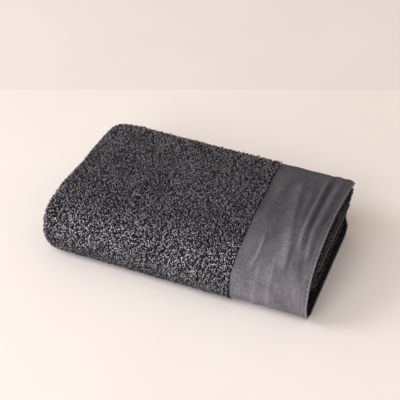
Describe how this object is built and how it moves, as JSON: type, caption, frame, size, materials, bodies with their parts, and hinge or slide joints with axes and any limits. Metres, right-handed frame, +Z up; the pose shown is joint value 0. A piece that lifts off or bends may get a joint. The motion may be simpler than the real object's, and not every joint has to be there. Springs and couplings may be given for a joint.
{
  "type": "folded bath towel",
  "caption": "Bath towel of dark grey looped terry with a flat woven border band across one end, folded back and forth into a low, soft-edged stack.",
  "frame": {"origin": "centre of the footprint, on the surface that the folded towel lies on", "axes": "+X along the folded length towards the open, hemmed end; -Y towards the wrapped side; +Z up through the stack"},
  "size_m": [0.335, 0.1848, 0.0821],
  "materials": {
    "terry": "looped cotton terry, matte",
    "band": "flat woven cotton, matte with a faint sheen"
  },
  "bodies": {
    "root": {"terry_towel": "terry", "border_band": "band"}
  },
  "joints": []
}
